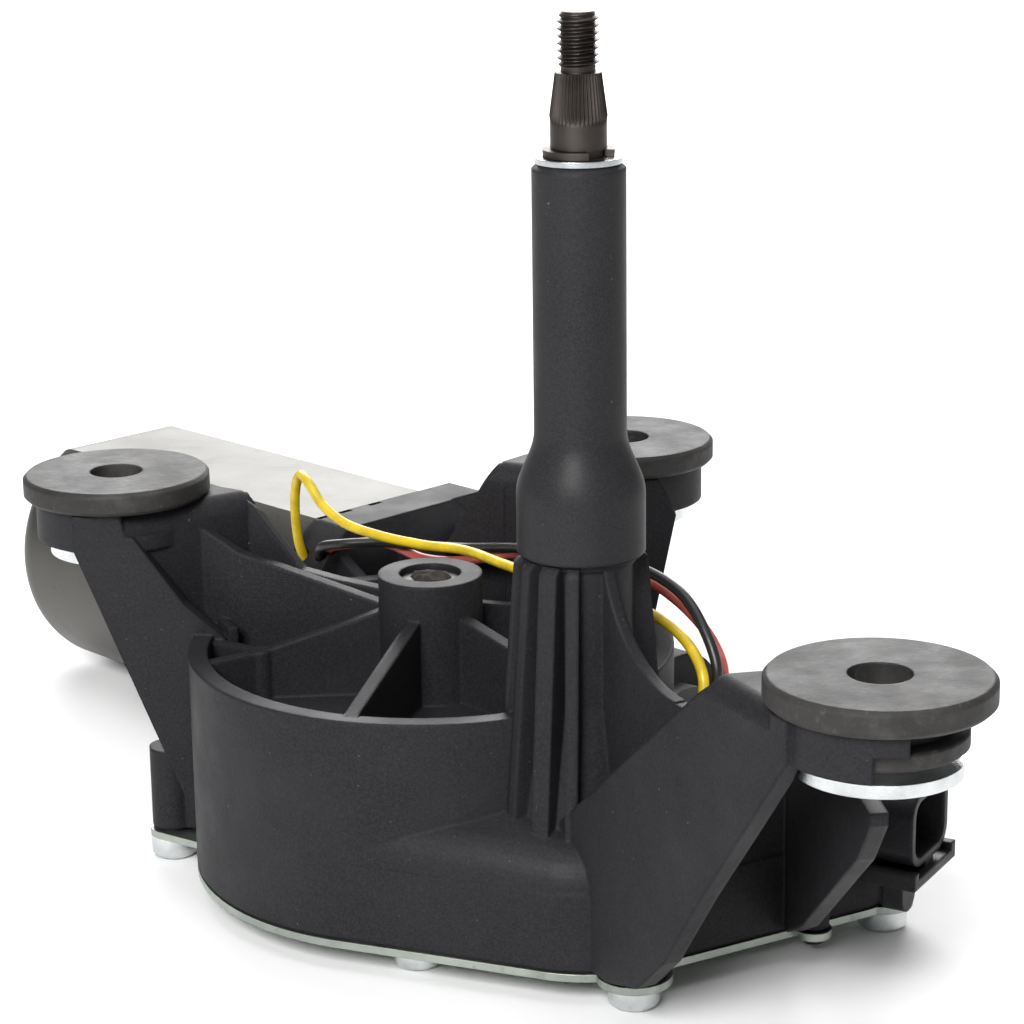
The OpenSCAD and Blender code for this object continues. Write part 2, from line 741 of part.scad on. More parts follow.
module rear_arm() {
  corner = [-13.2, 63.9];
  front_bearing = -27;
  difference() {
    union() {
      lug(rear_pos, 50, 50, 110);
      slab(lug_plate_low_z, under_disc_z)
        polygon([corner, [-7.8, 70.2], [0, 77], [10, 60], [14, 54.5], [5, 54.5]]);
      upright(corner + polar(rib_t / 2, front_bearing + 90), front_bearing, rib_t)
        polygon([[0.2, web_top_z], [-9.6, -19.5], [-9.6, -34], [20, -34], [20, web_top_z]]);
      upright([2, 55], 0, rib_t)
        polygon([[0, web_top_z], [12, web_top_z], [15, lug_low_z], [11.2, -29], [10.4, -36], [0, -36]]);
      rib(corner + [1, -0.5], [-3, 74], rib_t, -34, web_top_z, web_top_z);
      upright([-4, 52], 25, rib_t) polygon([[0, -9], [17, -6.5], [17, -36], [0, -36]]);
    }
    mount_room(rear_pos);
    soft_edge(corner - polar(6, front_bearing), front_bearing, 19, 0);
  }
}

module plate_outline() {
  margin = 0.4;
  lower_outline(0, plate_low_z, plate_top_z);
  for (b = BOSSES) post(b[0], b[1] + margin, plate_low_z, plate_top_z);
  pill(BOSSES[0][0], BOSSES[0][1] + margin, [-56, 38], 6, plate_low_z, plate_top_z);
  pill(BOSSES[5][0], BOSSES[5][1] + margin, [-42, 58], 6, plate_low_z, plate_top_z);
  pill(BOSSES[4][0], BOSSES[4][1] + margin, [14, 44], 8, plate_low_z, plate_top_z);
  post(peg_pos, peg_boss_r + margin, plate_low_z, plate_top_z);
}

module cover_plate() {
  color([0.74, 0.77, 0.72])
    difference() {
      plate_outline();
      for (b = BOSSES) post(b[0], screw_d / 2 + 0.2, plate_low_z - over, base_z + over);
      post(peg_pos, peg_r + 0.15, plate_low_z - over, base_z + over);
    }
}

module cover_seal() {
  color([0.2, 0.2, 0.22])
    difference() {
      union() {
        difference() {
          lower_outline(0.4, plate_top_z, base_z);
          lower_outline(chamber_wall + 0.6, plate_top_z - over, base_z + over);
        }
        for (b = [BOSSES[2], BOSSES[3]]) post(b[0], b[1] - 0.4, plate_top_z, base_z);
      }
      for (b = BOSSES) post(b[0], screw_d / 2 + 0.2, plate_top_z - over, base_z + over);
      post(peg_pos, peg_r + 0.15, plate_top_z - over, base_z + over);
    }
}

module cover_screws() {
  head_r = screw_head_d / 2;
  edge = 0.6;
  color([0.8, 0.82, 0.84])
    for (b = BOSSES)
      difference() {
        union() {
          post(b[0], screw_d / 2, plate_low_z - over, b[2] - boss_roof - screw_end_room);
          post(b[0], head_r, plate_low_z - screw_head_h + edge, plate_low_z);
          translate([b[0].x, b[0].y, plate_low_z - screw_head_h])
            cylinder(r1 = head_r - edge, r2 = head_r, h = edge);
        }
        translate([b[0].x, b[0].y, plate_low_z - screw_head_h - over])
          cylinder(d = screw_d + 0.8, h = screw_head_h / 2 + over, $fn = 6);
      }
}

module spindle_sleeve() {
  color([0.12, 0.12, 0.13])
    difference() {
      rotate_extrude()
        polygon(concat(
          [[0, 0], [collar_r - 0.3, 0], [collar_r, 0.3], [collar_r, collar_len]],
          [for (t = [0.1:0.1:0.9])
            [tube_r + (collar_r - tube_r) * (1 + cos(180 * t)) / 2, collar_len + shoulder_len * t]],
          [[tube_r, collar_len + shoulder_len], [tube_r, tube_top_z - 0.8], [tube_r - 0.8, tube_top_z],
            [0, tube_top_z]]));
      post(spindle, spigot_r + seat_gap, -over, spigot_len + 0.2);
      post(spindle, bush_seat_r, 0, tube_top_z + over);
    }
}

module bush(low) {
  color([0.62, 0.47, 0.27])
    difference() {
      post(spindle, bush_r, low, low + bush_len);
      post(spindle, bush_bore_r, low - over, low + bush_len + over);
    }
}

upper_bush_z = tube_top_z - 3.2 - bush_len;

module upper_bush() { bush(upper_bush_z); }
module lower_bush() { bush(ceiling_z + 0.3); }

module spindle_seal() {
  color([0.1, 0.1, 0.1])
    difference() {
      post(spindle, bush_r, tube_top_z - 2.9, tube_top_z - 0.2);
      post(spindle, bush_bore_r, tube_top_z - 3.2, tube_top_z);
      translate([0, 0, tube_top_z - 0.2])
        rotate_extrude() translate([(bush_r + shaft_r) / 2, 0]) circle(r = 0.4);
    }
}

washer_t = 0.8;
circlip_t = 1;
circlip_z = tube_top_z + seat_gap + washer_t + seat_gap;
circlip_seat_r = shaft_r - 0.35;

module spindle_washer() {
  color([0.82, 0.84, 0.85])
    difference() {
      post(spindle, tube_r - 0.4, tube_top_z + seat_gap, tube_top_z + seat_gap + washer_t);
      post(spindle, shaft_r + 0.08, tube_top_z, tube_top_z + 2);
    }
}

module spindle_circlip() {
  color([0.1, 0.1, 0.1])
    difference() {
      post(spindle, shaft_r + 1.1, circlip_z, circlip_z + circlip_t);
      post(spindle, circlip_seat_r + 0.04, circlip_z - over, circlip_z + circlip_t + over);
      slab(circlip_z - over, circlip_z + circlip_t + over)
        polygon([[0, 0], polar(9, -75), polar(9, -45), polar(9, -15)]);
    }
}

module output_shaft() {
  taper_top_z = shaft_tip_z - thread_len;
  taper_low_z = taper_top_z - taper_len;
  color([0.17, 0.14, 0.12])
    difference() {
      union() {
        post(spindle, shaft_r, lever_low_z, taper_low_z);
        translate([0, 0, taper_low_z])
          cylinder(r1 = taper_large_d / 2, r2 = taper_small_d / 2, h = taper_len);
        translate([0, 0, taper_low_z - 0.6]) cylinder(r1 = shaft_r, r2 = taper_large_d / 2, h = 0.6);
        post(spindle, thread_d / 2, taper_top_z - over, shaft_tip_z - 0.8);
        translate([0, 0, shaft_tip_z - 0.8]) cylinder(r1 = thread_d / 2, r2 = thread_d / 2 - 0.8, h = 0.8);
      }
      difference() {
        post(spindle, shaft_r + 1, circlip_z - 0.05, circlip_z + circlip_t + 0.05);
        post(spindle, circlip_seat_r, circlip_z - 1, circlip_z + circlip_t + 1);
      }
    }
}

module output_lever() {
  color([0.62, 0.63, 0.64])
    difference() {
      pill(spindle, lever_hub_r, lever_pin_pos, lever_eye_r, lever_low_z, lever_top_z);
      post(spindle, shaft_r + 0.01, lever_low_z - over, lever_top_z + over);
      post(lever_pin_pos, pin_r + 0.01, lever_low_z - over, lever_top_z + over);
    }
}

module lever_washer() {
  color([0.7, 0.7, 0.68])
    difference() {
      post(spindle, bush_r + 1.6, lever_top_z + 0.1, tower_foot_z - 0.2);
      post(spindle, shaft_r + 0.05, lever_top_z, tower_foot_z);
    }
}

module lever_pin() {
  color([0.7, 0.71, 0.73]) post(lever_pin_pos, pin_r, link_low_z - 0.8, lever_top_z);
}

module connecting_link() {
  color([0.6, 0.61, 0.62])
    difference() {
      union() {
        post(lever_pin_pos, link_eye_r - 0.2, link_low_z, link_top_z);
        post(crank_pos, link_eye_r + 0.6, link_low_z, link_top_z);
        web(lever_pin_pos, link_half_w, crank_pos, link_half_w, link_low_z, link_top_z);
      }
      post(lever_pin_pos, pin_bore_r, link_low_z - over, link_top_z + over);
      post(crank_pos, pin_bore_r, link_low_z - over, link_top_z + over);
    }
}

// One tooth space of the wheel's outline, from the root of a tooth over its tip to the next root
function tooth_points(i) =
  let (mid = 360 * i / wheel_teeth)
  let (tip_half = (tooth_t / 2 - addendum * pressure_slope) / wheel_tip_r * 180 / PI)
  let (root_half = (tooth_t / 2 + dedendum * pressure_slope) / wheel_root_r * 180 / PI)
  [polar(wheel_root_r, mid - root_half), polar(wheel_tip_r, mid - tip_half),
    polar(wheel_tip_r, mid + tip_half), polar(wheel_root_r, mid + root_half)];

module worm_wheel() {
  contact = motor_angle - 90;
  twist = wheel_width * tan(lead_angle) / wheel_pitch_r * 180 / PI;
  inner = 48;
  color([0.9, 0.87, 0.76])
    translate([gear_pos.x, gear_pos.y, wheel_z])
      rotate(contact + 180 / wheel_teeth - twist / 2)
        linear_extrude(height = wheel_width, twist = -twist, slices = 2)
          difference() {
            polygon([for (i = [0:wheel_teeth - 1]) each tooth_points(i)]);
            polygon([for (i = [0:inner - 1]) polar(ring_inner_r, 360 * i / inner)]);
          }
}

module wheel_hub() {
  color([0.66, 0.67, 0.68])
    difference() {
      union() {
        post(gear_pos, ring_inner_r - 0.15, motor_z - carrier_t / 2, motor_z + carrier_t / 2);
        post(gear_pos, wheel_hub_r, wheel_z, ceiling_z - 2);
        post(crank_pos, pin_r + 1.8, motor_z - carrier_t / 2 - 1, motor_z);
      }
      post(gear_pos, axle_bore_r, wheel_z - over, ceiling_z + over);
      post(crank_pos, pin_r + 0.01, wheel_z - 4, ceiling_z + over);
      for (i = [1:5])
        post(gear_pos + polar(17, crank_bearing + 60 * i), 4, wheel_z - over, ceiling_z);
    }
}

module crank_pin() {
  color([0.7, 0.71, 0.73]) post(crank_pos, pin_r, link_top_z + free_gap, motor_z + carrier_t / 2);
}

module wheel_axle() {
  color([0.5, 0.5, 0.5]) {
    post(gear_pos, axle_r, wheel_z - 2.6, hub_recess_z + 1.2);
    post(gear_pos, hub_recess_r - 0.1, hub_recess_z + seat_gap, hub_top_z - 1.3);
  }
}

module axle_washer() {
  color([0.8, 0.78, 0.7])
    difference() {
      post(gear_pos, wheel_hub_r, ceiling_z - 1.8, ceiling_z - 0.2);
      post(gear_pos, axle_r + 0.05, ceiling_z - 3, ceiling_z);
    }
}

module axle_clip() {
  color([0.6, 0.6, 0.6])
    difference() {
      post(gear_pos, axle_r + 2, wheel_z - 1.6, wheel_z - 0.3);
      post(gear_pos, axle_r + 0.02, wheel_z - 3, wheel_z);
      translate([gear_pos.x, gear_pos.y - 1.4, wheel_z - 3]) cube([10, 2.8, 3]);
    }
}

function worm_radius(a) =
  let (s = abs(a > 180 ? a - 360 : a) / 360 * tooth_pitch)
  let (tip_half = tooth_t / 2 - addendum * pressure_slope)
  let (root_half = tooth_t / 2 + dedendum * pressure_slope)
  s <= tip_half ? worm_tip_r
    : s >= root_half ? worm_root_r
    : worm_tip_r - (s - tip_half) / (root_half - tip_half) * (worm_tip_r - worm_root_r);

module worm() {
  tip_turn = (tooth_t / 2 - addendum * pressure_slope) / tooth_pitch * 360;
  root_turn = (tooth_t / 2 + dedendum * pressure_slope) / tooth_pitch * 360;
  turns = worm_len / tooth_pitch;
  flank = (root_turn - tip_turn) / 4;
  half = concat([for (i = [0:4]) tip_turn + flank * i], [(root_turn + 180) / 2]);
  angles = concat([-tip_turn / 2, 0, tip_turn / 2], half, [180], [for (i = [5:-1:0]) 360 - half[i]]);
  color([0.55, 0.56, 0.58])
    motor_frame()
      translate([-worm_len / 2, 0, 0])
        rotate([0, 90, 0])
          difference() {
            linear_extrude(height = worm_len, twist = -360 * turns, slices = round(14 * turns), $fn = 12)
              rotate(90 - 180 * turns)
                polygon([for (a = angles) polar(worm_radius(a < 0 ? a + 360 : a), a)]);
            translate([0, 0, -over])
              cylinder(r = (armature_shaft_r + 0.02) / cos(15), h = worm_len + 2 * over, $fn = 12);
          }
}

module armature_shaft() {
  color([0.7, 0.71, 0.73]) motor_frame() barrel(armature_start, can_end - can_wall - 1, armature_shaft_r);
}

rear_bearing_len = 6;
// Winding heads at the core's ends: reach along the shaft and radial size
winding_len = 7;
winding_t = 10;
commutator_len = 12;
commutator_r = 7.5;
brush_t = 4;
brush_len = 8.6;
core_start = can_start + 3 + commutator_len + 1 + winding_len;
armature_core_len = can_end - core_start - winding_len - rear_bearing_len - can_wall - 6.5;

module armature_core() {
  color([0.45, 0.45, 0.47])
    motor_frame()
      difference() {
        barrel(core_start, core_start + armature_core_len, core_d / 2);
        barrel(core_start - over, core_start + armature_core_len + over, armature_shaft_r + 0.01);
        for (i = [0:core_slots - 1])
          rotate([360 * i / core_slots, 0, 0])
            translate([core_start - over, -0.9, core_d / 2 - 6])
              cube([armature_core_len + 2 * over, 1.8, 7]);
      }
}

module armature_windings() {
  color([0.72, 0.4, 0.2])
    motor_frame()
      for (side = [0, 1])
        translate([core_start + side * armature_core_len + (side - 0.5) * (winding_len + 0.2), 0, 0])
          rotate([0, 90, 0])
            rotate_extrude()
              translate([core_d / 2 - 1.5 - winding_t / 2, 0])
                scale([winding_t / 10, winding_len / 10])
                  polygon([[-5, -4], [-4, -5], [3, -5], [5, -3], [5, 3], [3, 5], [-4, 5], [-5, 4]]);
}

module commutator() {
  color([0.75, 0.45, 0.22])
    motor_frame()
      difference() {
        barrel(can_start + 3, can_start + 3 + commutator_len, commutator_r);
        barrel(can_start, core_start, armature_shaft_r + 0.01);
        for (i = [0:core_slots - 1])
          rotate([360 * i / core_slots, 0, 0])
            translate([can_start + 2, -0.25, commutator_r - 0.9]) cube([commutator_len - 2, 0.5, 2]);
      }
}

module motor_can() {
  color([0.76, 0.75, 0.72])
    motor_frame()
      difference() {
        can_shape(can_start + seat_gap, can_end, 0, can_round);
        can_shape(can_start - over, can_end - can_wall, can_wall, can_round - can_wall);
      }
}

magnet_outer_r = can_r - can_wall - 0.1;

module field_magnets() {
  color([0.25, 0.25, 0.27])
    motor_frame()
      difference() {
        barrel(core_start - 3, core_start + armature_core_len + 3, magnet_outer_r);
        barrel(core_start - 4, core_start + armature_core_len + 4, core_d / 2 + 0.6);
        for (side = [0, 180])
          rotate([side, 0, 0])
            rotate([90, 0, 90])
              translate([0, 0, core_start - 4])
                linear_extrude(height = armature_core_len + 8)
                  polygon([[0, 0], polar(50, 38), polar(50, 142)]);
      }
}

module rear_bearing() {
  color([0.62, 0.47, 0.27])
    motor_frame()
      difference() {
        barrel(can_end - can_wall - seat_gap - rear_bearing_len, can_end - can_wall - seat_gap, 7);
        barrel(can_end - 20, can_end, armature_shaft_r + running_gap);
      }
}

module front_bearing() {
  color([0.62, 0.47, 0.27])
    motor_frame()
      difference() {
        barrel(flange_start - 14, flange_start - 6, tunnel_bore_r - seat_gap);
        barrel(flange_start - 20, flange_start, armature_shaft_r + running_gap);
      }
}

module thrust_pad() {
  color([0.85, 0.83, 0.75])
    motor_frame()
      difference() {
        barrel(armature_start - 1.1, -worm_len / 2 - 1.2, tunnel_bore_r - seat_gap);
        barrel(armature_start - 0.1, 0, armature_shaft_r + running_gap);
        translate([0, worm_distance, -20]) cylinder(r = inner_r, h = 40);
      }
}

module brush_holder() {
  guide_r = commutator_r + 0.5;
  guide_w = brush_len + 0.4;
  guide_h = brush_t + 3;
  color([0.16, 0.14, 0.12])
    motor_frame()
      difference() {
        union() {
          intersection() {
            can_shape(can_start - 5.8, can_start + 2, 3.4, 0.5);
            translate([can_start - 3, -can_r, -can_r]) cube([3, can_d, can_d]);
          }
          for (side = [-1, 1])
            translate([can_start - 0.5, side * (guide_r + guide_w / 2) - guide_w / 2, -guide_h / 2])
              cube([brush_t + 5.5, guide_w, guide_h]);
        }
        barrel(can_start - 10, can_start + 20, guide_r);
        translate([can_start + 4, -can_r, -brush_t / 2 - 0.2]) cube([brush_t + 0.4, can_d, brush_t + 0.4]);
      }
}

module carbon_brushes() {
  color([0.2, 0.2, 0.2])
    motor_frame()
      for (side = [-1, 1])
        translate([can_start + 4.2, side * (commutator_r + 0.2 + brush_len / 2) - brush_len / 2,
          -brush_t / 2])
          cube([brush_t, brush_len, brush_t]);
}

module grommet(p) {
  bevel = 0.6;
  low_r = lower_flange_d / 2;
  color([0.17, 0.16, 0.15])
    translate([p.x, p.y, 0])
      difference() {
        rotate_extrude()
          polygon([[0, 0], [grommet_d / 2 - bevel, 0], [grommet_d / 2, -bevel],
            [grommet_d / 2, bevel - disc_t], [grommet_d / 2 - bevel, -disc_t],
            [neck_d / 2, -disc_t], [neck_d / 2, lug_plate_low_z - 0.1],
            [low_r - bevel / 2, lug_plate_low_z - 0.1], [low_r, lug_plate_low_z - 0.1 - bevel / 2],
            [low_r, mount_low_z + bevel / 2], [low_r - bevel / 2, mount_low_z], [0, mount_low_z]]);
        translate([0, 0, mount_low_z - 1]) cylinder(r = bolt_hole_r, h = 2 - mount_low_z);
        translate([0, 0, mount_low_z - 1])
          cylinder(r = bolt_hole_r + spacer_wall + seat_gap, h = spacer_top_z + seat_gap - mount_low_z + 1);
      }
}

module front_grommet() { grommet(front_pos); }
module left_grommet() { grommet(left_pos); }
module rear_grommet() { grommet(rear_pos); }

// Flanged steel tubes that keep the bolts from crushing the rubber
module mount_spacers() {
  color([0.82, 0.83, 0.82])
    for (p = [front_pos, left_pos, rear_pos])
      difference() {
        union() {
          post(p, spacer_flange_d / 2, spacer_low_z, spacer_flange_z);
          post(p, bolt_hole_r + spacer_wall, spacer_low_z, spacer_top_z);
        }
        post(p, bolt_hole_r, spacer_low_z - 1, spacer_top_z + 1);
      }
}

module connector_frame() {
  translate(connector_pos) rotate(connector_angle) children();
}

module round_rect(w, h, r) {
  square([w - 2 * r, h], center = true);
  square([w, h - 2 * r], center = true);
  for (x = [-1, 1], y = [-1, 1]) translate([x * (w / 2 - r), y * (h / 2 - r)]) circle(r = r);
}

module connector_body(gap) {
  tray_low_z = -shroud_h / 2 - tray_drop - gap;
  connector_frame() {
    translate([-shroud_len - gap, 0, 0])
      rotate([90, 0, 90])
        linear_extrude(height = shroud_len + gap)
          round_rect(shroud_w + 2 * gap, shroud_h + 2 * gap, shroud_round);
    translate([-tray_len, -tray_w / 2 - gap, tray_low_z])
      cube([tray_len + 1 + gap, tray_w + 2 * gap, tray_t + 2 * gap]);
    translate([-tray_len, -1.5 - gap, tray_low_z]) cube([tray_len, 3 + 2 * gap, tray_drop + 1]);
    for (side = [-1, 1])
      translate([-tray_len, side * (tray_w / 2 - tray_t / 2) - tray_t / 2 - gap, tray_low_z])
        cube([tray_len + 1 + gap, tray_t + 2 * gap, 2.6 + 2 * gap]);
    translate([-6.5, 0, tray_low_z + gap])
      rotate([90, 0, 90])
        linear_extrude(height = 3.4)
          union() {
            translate([-ear_r, -ear_len]) square([2 * ear_r, ear_len + 0.5]);
            translate([0, -ear_len]) circle(r = ear_r);
          }
  }
}

module connector_housing() {
  color([0.09, 0.09, 0.1])
    difference() {
      connector_body(0);
      connector_frame()
        translate([-shroud_len + 3, 0, 0])
          rotate([90, 0, 90])
            linear_extrude(height = shroud_len)
              round_rect(shroud_w - 2 * shroud_wall, shroud_h - 2 * shroud_wall, shroud_round - shroud_wall);
      connector_frame() pin_slots(0.02);
    }
}

module pin_slots(gap) {
  for (y = [-3.6, -1.2, 1.2, 3.6])
    translate([-shroud_len - 2, y - 0.4 - gap, -0.9 - gap])
      cube([10, 0.8 + 2 * gap, 1.8 + 2 * gap]);
}

module connector_pins() {
  color([0.8, 0.72, 0.4]) connector_frame() pin_slots(0);
}

module contact_plate() {
  color([0.78, 0.66, 0.3])
    difference() {
      pill([34, 12], 5.5, [24, 12], 4, base_z + 1.5, base_z + 2.5);
      post([30, 12], 2, base_z + 1, base_z + 3);
    }
}

wire_grommet_pos = [19.5, 9.3];

module wire_grommet() {
  color([0.1, 0.1, 0.1]) {
    translate([wire_grommet_pos.x, wire_grommet_pos.y, switch_top_z + seat_gap])
      cylinder(r1 = 6.2, r2 = 5, h = wire_end_z - switch_top_z - 2 * seat_gap);
  }
}

module wire(route) {
  steps = 1;
  sides = 8;
  path = smooth_route(route, steps);
  last = len(path) - 1;
  rings = [for (i = [0:last])
    cross_section(path[i], path[min(i + 1, last)] - path[max(i - 1, 0)], wire_d / 2, sides)];
  polyhedron(
    points = [for (ring = rings) each ring],
    faces = concat(
      [[for (j = [0:sides - 1]) sides - 1 - j]],
      [for (i = [0:last - 1], j = [0:sides - 1])
        [i * sides + j, i * sides + (j + 1) % sides, (i + 1) * sides + (j + 1) % sides, (i + 1) * sides + j]],
      [[for (j = [0:sides - 1]) last * sides + j]]));
}

module wire_yellow() { color([0.88, 0.78, 0.06]) wire(YELLOW_ROUTE); }
module wire_black() { color([0.07, 0.07, 0.07]) wire(BLACK_ROUTE); }
module wire_red() { color([0.72, 0.2, 0.18]) wire(RED_ROUTE); }

gear_housing();
cover_plate();
cover_seal();
cover_screws();
spindle_sleeve();
upper_bush();
lower_bush();
spindle_seal();
spindle_washer();
spindle_circlip();
output_shaft();
output_lever();
lever_washer();
lever_pin();
connecting_link();
worm_wheel();
wheel_hub();
crank_pin();
wheel_axle();
axle_washer();
axle_clip();
worm();
armature_shaft();
armature_core();
armature_windings();
commutator();
motor_can();
field_magnets();
rear_bearing();
front_bearing();
thrust_pad();
brush_holder();
carbon_brushes();
front_grommet();
left_grommet();
rear_grommet();
mount_spacers();
connector_housing();
connector_pins();
contact_plate();
wire_grommet();
wire_yellow();
wire_black();
wire_red();
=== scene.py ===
import json
import math
import random

import bpy
from mathutils import Euler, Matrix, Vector


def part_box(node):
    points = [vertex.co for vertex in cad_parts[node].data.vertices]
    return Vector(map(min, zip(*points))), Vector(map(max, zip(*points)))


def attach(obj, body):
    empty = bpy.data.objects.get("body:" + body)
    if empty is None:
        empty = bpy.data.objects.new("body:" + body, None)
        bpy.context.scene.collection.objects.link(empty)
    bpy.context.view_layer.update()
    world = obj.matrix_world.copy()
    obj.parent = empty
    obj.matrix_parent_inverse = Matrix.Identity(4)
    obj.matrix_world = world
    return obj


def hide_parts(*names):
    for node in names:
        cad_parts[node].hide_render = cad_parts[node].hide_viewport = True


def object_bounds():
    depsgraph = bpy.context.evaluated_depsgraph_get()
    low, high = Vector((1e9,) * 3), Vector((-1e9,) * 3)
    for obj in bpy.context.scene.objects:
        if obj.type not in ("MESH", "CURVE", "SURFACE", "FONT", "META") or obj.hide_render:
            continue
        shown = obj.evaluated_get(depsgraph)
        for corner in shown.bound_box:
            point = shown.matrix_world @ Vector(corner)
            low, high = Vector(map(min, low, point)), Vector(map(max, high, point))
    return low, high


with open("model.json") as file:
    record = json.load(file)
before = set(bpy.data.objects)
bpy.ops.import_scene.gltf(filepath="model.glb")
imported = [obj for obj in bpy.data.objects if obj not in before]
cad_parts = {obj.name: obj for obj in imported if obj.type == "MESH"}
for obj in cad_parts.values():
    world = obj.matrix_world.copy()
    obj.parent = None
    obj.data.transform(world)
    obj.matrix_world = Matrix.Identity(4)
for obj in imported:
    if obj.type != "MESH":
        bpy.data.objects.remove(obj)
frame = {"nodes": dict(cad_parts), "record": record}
cad_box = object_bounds()

MM = 0.001

# Camera at the photograph's viewing angle: its place in metres, then degrees, then the lens in millimetres
CAMERA_AT = (-0.010, -0.400, 0.119)
CAMERA_PITCH = 15.78
CAMERA_ROLL = -0.76
CAMERA_LENS = 100.8
SENSOR_WIDTH = 36.0
CLIP_NEAR = 0.01
CLIP_FAR = 20.0

# Floor just under the model's lowest point, in metres
FLOOR_Z = cad_box[0][2] - 0.0002
FLOOR_SIZE = 6
FLOOR_GREY = 0.86
FLOOR_ROUGHNESS = 0.9

# Soft studio light: for each lamp its place, its aim, its two sides and its power
WORLD_STRENGTH = 0.2
LAMPS = {
    "key": ((-0.35, -1.0, 0.75), (0, 0, -0.02), (0.5, 0.5), 21.5),
    "top": ((0.0, 0.1, 1.3), (0, 0.05, 0), (1.2, 1.2), 9),
    "back": ((0.0, 1.6, 0.8), (0, 0, 0), (1.6, 0.8), 36),
}

# The leads: diameter and the route points of their CAD tubes, in millimetres
LEAD_D = 1.7
LEAD_STEPS_PER_POINT = 14
LEAD_ROUNDNESS = 5
LEAD_ROUTES = {
    "yellow": [
        (-46.3, 84, -27), (-47.4, 82.4, -22.5), (-47.8, 81.6, -17.5), (-47.6, 80.6, -12.6), (-46.6, 78, -9),
        (-45, 74.2, -9), (-42.4, 71, -12.2), (-38.6, 67.6, -14.6), (-32.5, 63.6, -15.8), (-25, 59, -16.2),
        (-18, 52.5, -15.3), (-11, 42, -14.8), (-2.5, 30, -14.3), (6, 23.5, -15), (12.5, 18, -16.5),
        (16.6, 12.4, -19), (18.4, 8.4, -22.4), (18.4, 7, -26),
    ],
    "black": [
        (-42, 83, -27.5), (-43.6, 80.6, -24.2), (-43, 77.4, -21.7), (-39.4, 75.2, -20.6), (-33, 73.8, -20),
        (-26, 71, -19.8), (-18, 62.5, -17.8), (-10, 52, -14.8), (-2, 38, -11.6), (5, 29, -10.3),
        (11, 24, -10.7), (16, 18.5, -12.9), (19, 13.5, -17), (20.6, 10.4, -21.6), (20.6, 9.6, -26),
    ],
    "red": [
        (-40.4, 86.6, -28), (-42, 83.8, -24.8), (-41.6, 80, -22.6), (-38.6, 77.4, -21.3), (-32.4, 76, -20.7),
        (-25.4, 71, -22.1), (-18.4, 63.4, -20.4), (-10, 54.6, -16.6), (-1.8, 41.4, -12.6), (5.4, 31.8, -11.8),
        (12, 27, -13.6), (17.3, 21.5, -16.6), (20.6, 16.2, -20), (21.8, 13, -23.2), (21.5, 12.2, -26),
    ],
}

# The spindle, in millimetres: the sizes that its CAD solid has too
SHAFT_R = 4.0
THREAD_R = 3.0
THREAD_LEN = 8.4
TAPER_LEN = 6.0
TAPER_TOP_R = 3.3
TAPER_LOW_R = 4.1
TAPER_FOOT = 0.6
GROOVE_DEPTH = 0.35
GROOVE_GAP = 0.05

# Its rolled thread: the neck under it is nearly as thin as the thread's root, and the roots are flat
THREAD_PITCH = 1.0
THREAD_DEPTH = 0.62
NECK_LEN = 0.7
NECK_SHARE = 0.9
THREAD_FADE = 0.6
ROOT_FLATNESS = 1.15
TIP_BEVEL_LEN = 0.9
TIP_BEVEL_SLOPE = 0.85
THREAD_STEP = 0.02
THREAD_RING_GAP = 0.08

# Its serrations, which run out over a stretch below the taper and stop just under the thread
SERRATIONS = 42
SERRATION_DEPTH = 0.3
SERRATION_RUN_OUT = 1.2
SERRATION_STOP = 0.15
POINTS_PER_SERRATION = 4
SERRATED_FOOT = 1.3
FOOT_RINGS = 10
TAPER_RINGS = 12

# Half the gap between the two rings that make a sharp step
EDGE = 0.01

# The wheel's axle in the hub, in millimetres: its centre and the steel face laid on its CAD head
GEAR_AT = (-23, 31)
FACE_R = 4.75
FACE_THICK = 0.4
FACE_BEVEL = 0.2
FACE_POINTS = 64

# The drop of sealing compound on that face: a low dome with a wavy rim and random lumps
DROP_R = 3.1
DROP_HEIGHT = 0.85
DROP_LOWEST = 0.02
DROP_HIGHEST = 1.3
DROP_SUNK = 0.2
DROP_RINGS = 24
DROP_POINTS = 96
RIM_WAVES = ((3, 0.07, 1), (7, 0.05, 0), (13, 0.03, 2))
LUMP_SEED = 7
LUMPS = 80
LUMP_REACH = 2.8
LUMP_WIDTH = (0.2, 0.7)
LUMP_HEIGHT = (-0.35, 0.45)

# Where two faces meet at more than this many degrees, their edge is sharp
CAD_SHARP = 28
FACE_SHARP = 30
SPINDLE_SHARP = 25
DROP_SHARP = 40

# The rounding that the materials show on edges, in metres
PLASTIC_EDGE = 0.0008
RUBBER_EDGE = 0.0005
METAL_EDGE = 0.00015
EDGE_SAMPLES = 6

PLASTIC_SPECULAR = 0.15
RUBBER_SPECULAR = 0.35

# The colour mix node's sockets by number, because its sockets for other types have the same names
MIX_FACTOR = 0
MIX_A = 6
MIX_B = 7
MIX_RESULT = 2


def set_camera():
    data = bpy.data.cameras.new("camera")
    data.lens = CAMERA_LENS
    data.sensor_width = SENSOR_WIDTH
    data.clip_start = CLIP_NEAR
    data.clip_end = CLIP_FAR
    cam = bpy.data.objects.new("camera", data)
    bpy.context.scene.collection.objects.link(cam)
    look = Euler((math.radians(90 - CAMERA_PITCH), 0, 0)).to_matrix()
    roll = Euler((0, 0, math.radians(CAMERA_ROLL))).to_matrix()
    cam.matrix_world = (look @ roll).to_4x4()
    cam.location = CAMERA_AT
    bpy.context.scene.camera = cam


